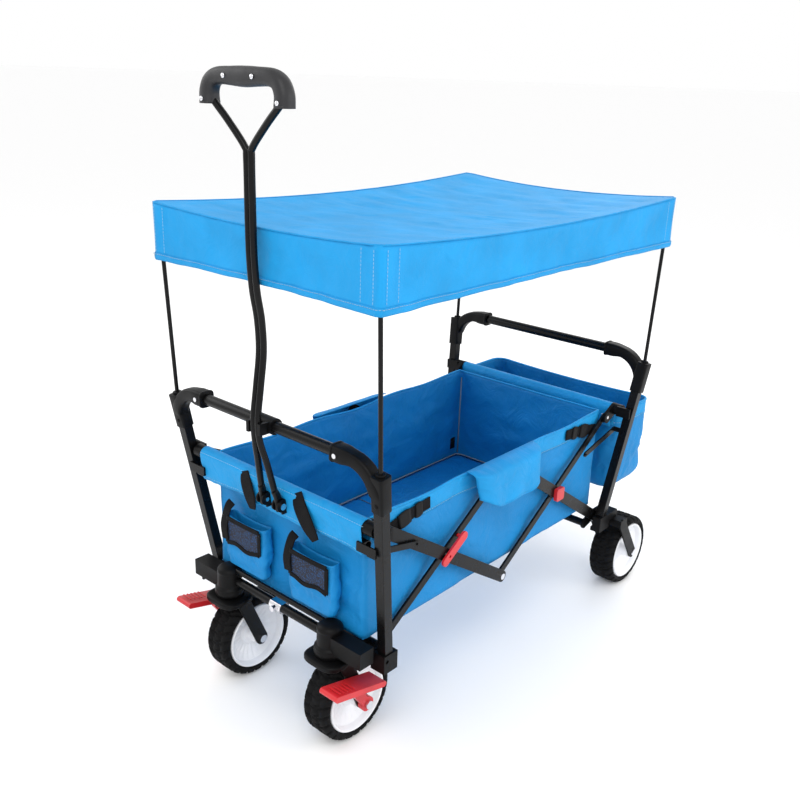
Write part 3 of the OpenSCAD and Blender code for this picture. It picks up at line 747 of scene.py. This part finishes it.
def side_flap(side):
    """Cloth that hangs over the upper middle pivot."""
    s = SIDES[side]

    def point(u, v):
        t = u * 2 - 1
        y = -0.015 + 0.010 * v + (0.115 - 0.011 * v) * t
        drop = 0.090 - 0.030 * (0.5 - 0.5 * t) ** 5 - 0.014 * (0.5 + 0.5 * t) ** 5
        out = TUB_HX + 0.002 + 0.034 * (1 - (1 - min(1, v * 5)) ** 2) * (1 - 0.42 * abs(t) ** 9)
        z = TUB_HIGH.z + 0.003 - drop * v + 0.004 * math.sin(math.pi * min(1, v * 2))
        out += (0.004 + 0.0025 * ripple((y * 3, v, s), 6, 4.0) + 0.0025 * math.sin(9 * t + s)) * v
        z += 0.003 * math.sin(7 * t + 1) * v
        return Vector((s * out, MID + y, z))

    flap = grid(f"flap_{side}", point, 48, 20, HEM, (0.22, 0.1), thick=0.0012)
    edge = sweep(f"flap_edge_{side}", [point(i / 48, 1) for i in range(49)], (0.0016, 0.0016), HEM, n=8)
    for piece in (flap, edge):
        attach(piece, "rear_slider")
        squash_along(piece)


def corner_strap(side, end):
    """Short webbing with a buckle, from the tub's side to its corner."""
    s, e = SIDES[side], ENDS[end]
    x = TUB_HX + 0.0022
    path = [(s * x, MID + e * 0.240, 0.468), (s * (x + 0.0006), MID + e * 0.30, 0.462),
            (s * x, MID + e * 0.378, 0.448)]
    pts = smooth_path(path, 10)
    band = sweep("b", pts, (STRAP_HALF, STRAP_THICK), WEB, up=(s, 0, 0), square=6, n=12)
    pieces = [band]
    for at, length, half in ((0.30, 0.020, 0.016), (0.62, 0.034, 0.017)):
        i = int(at * (len(pts) - 1))
        c, way = pts[i], (pts[i + 1] - pts[i]).normalized()
        lift = Vector((s * 0.0012, 0, 0))
        ends = [c - way * length / 2 + lift, c + way * length / 2 + lift]
        pieces.append(sweep("k", [ends[0] + (ends[1] - ends[0]) * k / 6 for k in range(7)],
                            lambda t, h=half: (h * (0.86 + 0.14 * math.sin(math.pi * t)), 0.0019), PLASTIC,
                            up=(s, 0, 0), square=5, n=20))
    strap = join(f"strap_{end}_{side}", pieces)
    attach(strap, f"{end}_slider")
    squash_along(strap)


def front_loops():
    """The two black carrying loops sewn to the front sleeve."""
    y = RAIL["front"].y - 0.0162
    z = RAIL["front"].z
    left = [(-0.088, y + 0.004, z + 0.008), (-0.080, y, z - 0.01), (-0.068, y - 0.001, z - 0.04),
            (-0.064, y + 0.002, z - 0.064)]
    right = [(0.060, y + 0.006, z + 0.012), (0.072, y, z - 0.008), (0.094, y - 0.001, z - 0.04),
             (0.112, y + 0.002, z - 0.066)]
    made = []
    for path, wide in ((left, 0.017), (right, 0.019)):

        def size(t, wide=wide):
            return wide * max(0.25, math.sin(math.pi * (0.16 + 0.74 * t)) ** 0.6), 0.0016

        made.append(sweep("l", smooth_path(path, 10), size, WEB, up=(0, -1, 0), square=4, n=16))
    loops = join("front_loops", made)
    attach(loops, "front_slider")


for side in SIDES:
    side_flap(side)
    for end in ENDS:
        corner_strap(side, end)
front_loops()

# ---------- wheels ----------

BLOCKS = 26                # tread blocks round a tyre
TREAD_FROM = 0.079         # radius where the tread's blocks begin
TYRE_HALF = 0.033
DISH = (0.0285, 0.0632)    # inner and outer radius of a rim's dish
FACET_DEPTH = 0.0019


def tread(a, r, x):
    """Cuts the tread's grooves into the tyre's outer part."""
    if r < TREAD_FROM:
        return r, x
    s = abs(x) / TYRE_HALF
    turn = BLOCKS * a / (2 * math.pi) + (0.35 if x > 0 else 0.0)
    lug = (turn + 0.9 * s) % 1
    wall = min(1, max(0, (r - TREAD_FROM) / 0.004))
    depth = 0.0034 if s > 0.30 and lug < 0.26 else 0.0
    zig = 0.30 + 0.07 * math.sin(2 * math.pi * turn)
    if abs(s - zig) < 0.07 or (s < 0.24 and (turn + 0.5) % 1 < 0.14):
        depth = 0.0028
    return r - depth * wall, x - math.copysign(depth * 0.55 * wall * (s > 0.8), x)


def tyre_outline():
    half, radius, shoulder, bead = TYRE_HALF, 0.09, 0.013, 0.0715
    side = [(bead, half - 0.007), (0.0735, half - 0.0035), (0.0765, half - 0.001), (0.079, half - 0.0002)]
    arc = [(radius - shoulder + shoulder * math.sin(k * math.pi / 16),
            half - shoulder + shoulder * math.cos(k * math.pi / 16)) for k in range(1, 8)]
    across = [(radius - 0.0006 * (k / 5) ** 2, (half - shoulder) * k / 5) for k in range(5, 0, -1)]
    right = side + arc + across
    return right + [(radius, 0.0)] + [(r, -x) for r, x in reversed(right)]


def rim_outline():
    side = [(0.0713, 0.0300), (0.0695, 0.0322), (0.0668, 0.0312), (0.0645, 0.0260), (0.0630, 0.0180),
            (0.0480, 0.0100), (0.0290, 0.0070), (0.0262, 0.0085), (0.0240, 0.0125), (0.0180, 0.0140),
            (0.0165, 0.0160), (0.0162, 0.0365), (0.0150, 0.0370), (0.0052, 0.0370)]
    return side + [(r, -x) for r, x in reversed(side)]


def facets(a, r, x):
    """Shallow radial facets in the dish."""
    if not DISH[0] < r < DISH[1] or abs(x) > 0.0185:
        return r, x
    across = math.sin(math.pi * (r - DISH[0]) / (DISH[1] - DISH[0])) ** 0.5
    return r, x + math.copysign(FACET_DEPTH * abs(math.sin(12 * a)) * across, x)


def wheel(end, side):
    low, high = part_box(f"{end}_tyre_{side}")
    place = [(a + b) / 2 for a, b in zip(low, high)]
    tyre = lathe(f"tyre_{end}_{side}", tyre_outline(), place, RUBBER, n=BLOCKS * 12, shift=tread)
    rim = lathe(f"rim_{end}_{side}", rim_outline(), place, WHITE, n=144, shift=facets)
    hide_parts(f"{end}_tyre_{side}")
    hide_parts(f"{end}_rim_{side}")
    for piece, name in ((tyre, "tread"), (rim, "white")):
        for poly in piece.data.polygons:
            poly.use_smooth = name == "tread"
        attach(piece, f"{end}_wheel_{side}")


for end in ENDS:
    for side in SIDES:
        wheel(end, side)

# ---------- casters and moulded parts ----------

HOUSING_R = 0.0252         # body of a caster housing
FLARE_R = 0.0308           # the ring at its foot


def rounded(t, soft, full=1.0):
    """Share of a section's full size that is left at t, rounded off within `soft` of both ends."""
    near = min(1, t / soft, (1 - t) / soft)
    return full * (1 - 0.35 * (1 - math.sqrt(max(0.0, 1 - (1 - near) ** 2))))


def dome(t):
    """Radius of a housing from its foot to its rounded top."""
    if t < 0.24:
        return FLARE_R * (0.94 + 0.06 * math.sin(math.pi * t / 0.24))
    if t < 0.32:
        return FLARE_R + (HOUSING_R - FLARE_R) * (t - 0.24) / 0.08
    if t < 0.80:
        return HOUSING_R - 0.0012 * (t - 0.32)
    return max(0.001, HOUSING_R * math.sqrt(max(0.0, 1 - 0.9 * ((t - 0.80) / 0.20) ** 2.6)))


def steps_between(a, b, n):
    return [Vector(a).lerp(Vector(b), i / n) for i in range(n + 1)]


def housings():
    made = []
    foot_z, top_z = span("caster_housings", Z)
    for side in SIDES:
        x = centre(f"front_tyre_{side}").x
        y = MID - 0.438
        made.append(sweep("h", steps_between((x, y, foot_z), (x, y, top_z + 0.001), 40),
                          lambda t: (dome(t), dome(t)), PLASTIC, up=(0, 1, 0), n=48))
    whole = join("caster_domes", made)
    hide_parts("caster_housings")
    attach(whole, "front_frame")


def fork(side):
    """Crown under the housing, a spindle, and two legs down to the axle."""
    name = f"front_fork_{side}"
    (x0, y0, z0), (x1, y1, z1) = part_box(name)
    x = (x0 + x1) / 2
    axle = centre(f"front_tyre_{side}")
    crown_low, crown_high = 0.186, 0.2015
    cy = y0 + 0.038
    made = [sweep("c", steps_between((x, cy, crown_low), (x, cy, crown_high), 14),
                  lambda t: ((x1 - x0) / 2 * rounded(t, 0.3), 0.038 * rounded(t, 0.3)), PLASTIC,
                  up=(0, 1, 0), square=3.4, n=56),
            sweep("p", steps_between((x, MID - 0.438, crown_high - 0.002), (x, MID - 0.438, z1), 3),
                  (0.0099, 0.0099), STEEL, up=(0, 1, 0), n=24)]
    for end in (-1, 1):
        lx = x + end * ((x1 - x0) / 2 - 0.0025)
        a, b = Vector((lx, MID - 0.437, 0.196)), Vector((lx, axle.y, axle.z))
        way = (b - a).normalized()
        b = b + way * 0.0148
        long = (b - a).length
        path = [a + way * long * (1 - (1 - i / 40) ** 1.7) for i in range(41)]

        def size(t, long=long):
            left = long * (1 - t) ** 1.7
            end_r = 0.0148
            w = end_r if left > end_r else math.sqrt(max(1e-8, end_r ** 2 - (end_r - left) ** 2))
            return w, 0.0025

        made.append(sweep("l", path, size, STEEL, up=(1, 0, 0), square=7, n=28))
    whole = join(f"caster_fork_{side}", made)
    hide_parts(name)
    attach(whole, f"fork_{side}")


def soften(node_name, body, width=0.0012):
    """The same part with its hard edges rounded."""
    source = frame["nodes"][node_name]
    slot = next(p["material_slot"] for p in frame["record"]["subparts"] if p["node"] == node_name)
    bm = bmesh.new()
    bm.from_mesh(source.data)
    bm.transform(source.matrix_world)
    bmesh.ops.remove_doubles(bm, verts=bm.verts, dist=1e-5)
    bmesh.ops.dissolve_limit(bm, angle_limit=math.radians(1.5), verts=bm.verts, edges=bm.edges)
    piece = put(node_name + "_soft", [(0, 0, 0)], [], NODE_LOOK[slot])
    bm.to_mesh(piece.data)
    bm.free()
    for poly in piece.data.polygons:
        poly.use_smooth = True
    modify(piece, "BEVEL", width=width, segments=2, limit_method="ANGLE", angle_limit=math.radians(32),
           use_clamp_overlap=True)
    modify(piece, "WEIGHTED_NORMAL", keep_sharp=True)
    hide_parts(node_name)
    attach(piece, body)


housings()
for side in SIDES:
    fork(side)
    soften(f"brake_pedal_{side}", f"pedal_{side}", 0.0014)
    soften(f"lock_lever_{side}", f"lock_lever_{side}", 0.0011)
for part, body in (("front_brackets", "front_frame"), ("rear_brackets", "rear_frame"),
                   ("rear_forks", "rear_frame"), ("front_posts", "front_frame"), ("rear_posts", "rear_frame"),
                   ("front_outer_links", "front_outer_links"), ("rear_outer_links", "rear_outer_links"),
                   ("front_inner_links", "front_inner_links"), ("rear_inner_links", "rear_inner_links"),
                   ("handle_brackets", "front_frame"), ("handle_clip", "front_frame"),
                   ("front_sliders", "front_slider"), ("rear_sliders", "rear_slider"),
                   ("front_mid_rail", "front_frame")):
    soften(part, body)

# ---------- handle ----------

HANDLE_APART = 0.0059      # from the middle to each of the handle's two rods


def button(place, way, r, mat):
    way = Vector(way).normalized()
    up = (0, 0, 1) if abs(way.z) < 0.9 else (1, 0, 0)
    path = [Vector(place) + way * r * k for k in (0, 0.25, 0.45, 0.55)]

    def size(t):
        return (r * math.sqrt(max(0.05, 1 - t * t * 0.9)),) * 2

    return sweep("button", path, size, mat, up=up, n=20)


def handle():
    grip = centre("handle_grip")
    rods = []
    for s in (-1, 1):
        near = s * HANDLE_APART
        spots = [(s * 0.0185, -0.456, 0.497), (s * 0.013, -0.467, 0.550), (s * 0.0066, -0.4785, 0.600),
                 (near, -0.4808, 0.642), (near, -0.473, 0.700), (near, -0.465, 0.762),
                 (near, -0.4675, 0.820), (near, -0.4765, 0.872), (near, -0.481, 0.930),
                 (near, -0.482, 1.00), (near, -0.482, 1.09), (s * 0.0100, -0.4822, 1.108),
                 (s * 0.048, -0.484, 1.146), (s * 0.082, -0.4855, 1.176), (s * 0.0905, -0.486, 1.19)]
        path = [(x, MID + y, z) for x, y, z in spots]
        rods.append(sweep("rod", smooth_path(path, 7), (0.0060, 0.0062), STEEL, up=(0, -1, 0), n=20))
        flat = [Vector((s * 0.0185, MID - 0.456, 0.497)), Vector((s * 0.021, MID - 0.452, 0.485)),
                Vector((s * 0.022, MID - 0.448, 0.467)), Vector((s * 0.022, MID - 0.447, 0.459))]
        rods.append(sweep("foot", smooth_path(flat, 5), lambda t: (0.0055 - 0.002 * t, 0.0065 + 0.003 * t),
                          STEEL, up=(0, -1, 0), square=3, n=20))
    tubes = join("handle_rods", rods)
    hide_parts("handle_tube", "handle_legs")
    half = 0.0915
    right = [(0.03, 1.2145), (0.064, 1.2140), (0.083, 1.206), (half, 1.190), (half, 1.171)]
    outline = [(-x, z) for x, z in reversed(right)] + [(0, 1.2140)] + right
    line = [(x, grip.y, z) for x, z in outline]

    def thick(t):
        mid = math.exp(-((t - 0.5) / 0.13) ** 2)
        end = max(0, abs(t - 0.5) * 2 - 0.55) / 0.45
        return 0.0135 + 0.0025 * mid + 0.0022 * end, 0.0150 + 0.0010 * mid + 0.001 * end

    bar = sweep("g", smooth_path(line, 10), thick, GRIP, up=(0, -1, 0), square=2.5, n=32)
    face = grip.y - 0.0160
    screws = [button((x, face, z), (0, -1, 0), 0.0042, CHROME)
              for x, z in ((-0.035, 1.2145), (0.035, 1.2145), (-0.0925, 1.178), (0.0925, 1.178))]
    ring = [sweep("r", [Vector((x, grip.y, 1.1705)), Vector((x, grip.y, 1.175))], (0.0150, 0.0165), GRIP,
                  up=(0, -1, 0), square=2.5, n=32) for x in (-half, half)]
    whole = join("grip", [bar] + ring)
    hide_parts("handle_grip")
    screws = join("grip_screws", screws)
    for piece, name in ((tubes, "steel"), (whole, "plastic"), (screws, "chrome")):
        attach(piece, "handle")


handle()

# ---------- corner pieces ----------

POST_TOP = 0.612           # where the posts' corner is measured from



def corner_piece(end, side):
    """Moulded elbow: rail socket, bend, and a tapering sleeve down the post with a pole collar."""
    s, e = SIDES[side], ENDS[end]
    y, z = PUSH[end].y, PUSH[end].z
    lean_side, lean_end = math.tan(math.radians(5)), math.tan(math.radians(9.2))
    bend = 0.062

    def on_post(height):
        below = POST_TOP - height
        return Vector((s * (0.2775 - below * lean_side), MID + e * (0.4525 - below * lean_end), height))

    start = 0.210
    path = [Vector((s * x, y, z)) for x in (0.177, 0.180, 0.190, 0.200)]
    for k in range(0, 10):
        a = k * math.pi / 22
        path.append(Vector((s * (start + bend * math.sin(a)), y - e * 0.004 * k / 9,
                            z - bend + bend * math.cos(a))))
    path += [on_post(h) for h in (0.570, 0.558, 0.545, 0.541)]

    def size(t):
        block = 1 - min(1, max(0, (t - 0.17) / 0.1))
        return 0.0130 + 0.0026 * block - 0.0005 * t, 0.0135 + 0.0022 * block

    elbow = sweep("e", path, size, PLASTIC, up=(0, -e, 0), square=4.5, n=28)
    spine = sweep("s", [on_post(h) for h in (0.541, 0.560, 0.585, 0.600, 0.611)],
                  lambda t: (0.0138, 0.0132 + 0.0008 * t), PLASTIC, up=(0, -e, 0), square=6, n=28)
    collar = sweep("c", [on_post(h) for h in (0.606, 0.613, 0.6155)], (0.0085, 0.0085), PLASTIC,
                   up=(0, -e, 0), n=20)
    rivet = button(on_post(0.555) + Vector((0, e * 0.0135, 0)), (0, e, 0), 0.0040, PLASTIC)
    bead = sweep("b", [Vector((s * x, y, z)) for x in (0.176, 0.181)], (0.0168, 0.0168), PLASTIC,
                 up=(0, -e, 0), square=4, n=28)
    return [elbow, spine, collar, rivet, bead]


for end in ENDS:
    whole = join(f"corners_{end}", corner_piece(end, "left") + corner_piece(end, "right"))
    modify(whole, "BEVEL", width=0.0008, segments=2, limit_method="ANGLE")
    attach(whole, f"{end}_frame")
    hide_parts(f"{end}_corners")

# ---------- camera, light, floor ----------


def camera():
    place = Vector((1.178, MID - 1.446, 1.2245))
    yaw, pitch, roll = (math.radians(a) for a in (41.03, 19.75, 1.935))
    back = Vector((math.sin(yaw) * math.cos(pitch), -math.cos(yaw) * math.cos(pitch), math.sin(pitch)))
    right = (-back).cross(UP).normalized()
    up = back.cross(right)
    right2 = right * math.cos(roll) + up * math.sin(roll)
    up2 = up * math.cos(roll) - right * math.sin(roll)
    data = bpy.data.cameras.new("camera")
    data.lens = 40.77
    data.sensor_width = 36
    data.clip_start = 0.05
    cam = bpy.data.objects.new("camera", data)
    cam.matrix_world = Matrix((right2, up2, back)).transposed().to_4x4()
    cam.matrix_world.translation = place
    bpy.context.collection.objects.link(cam)
    bpy.context.scene.camera = cam


def lamp(name, place, target, size, power):
    data = bpy.data.lights.new(name, "AREA")
    data.shape = "RECTANGLE"
    data.size, data.size_y = size
    data.energy = power
    obj = bpy.data.objects.new(name, data)
    obj.location = place
    obj.rotation_euler = (Vector(target) - Vector(place)).to_track_quat("-Z", "Y").to_euler()
    bpy.context.collection.objects.link(obj)


def studio():
    world = bpy.data.worlds.new("studio")
    world.use_nodes = True
    world.node_tree.nodes["Background"].inputs["Color"].default_value = (1, 1, 1, 1)
    world.node_tree.nodes["Background"].inputs["Strength"].default_value = 1.0
    bpy.context.scene.world = world
    lamp("key", (1.6, -2.2, 3.0), (0, 0, 0.4), (2.2, 2.2), 45)
    lamp("fill", (-2.8, -1.2, 2.0), (0, 0, 0.4), (2.0, 2.0), 26)
    lamp("side", (3.0, 1.4, 1.6), (0, 0, 0.5), (1.6, 1.6), 26)
    lamp("back", (-0.6, 3.0, 2.4), (0, 0, 0.6), (2.0, 1.5), 26)
    mat, _, _ = material("studio_floor", (0.98, 0.98, 0.98), 0.95)
    far = 300
    corners = [(-far, -far, 0), (far, -far, 0), (far, far, 0), (-far, far, 0)]
    floor = put("floor", corners, [(0, 1, 2, 3)], mat)
    bpy.context.scene.view_settings.view_transform = "Standard"


camera()
studio()
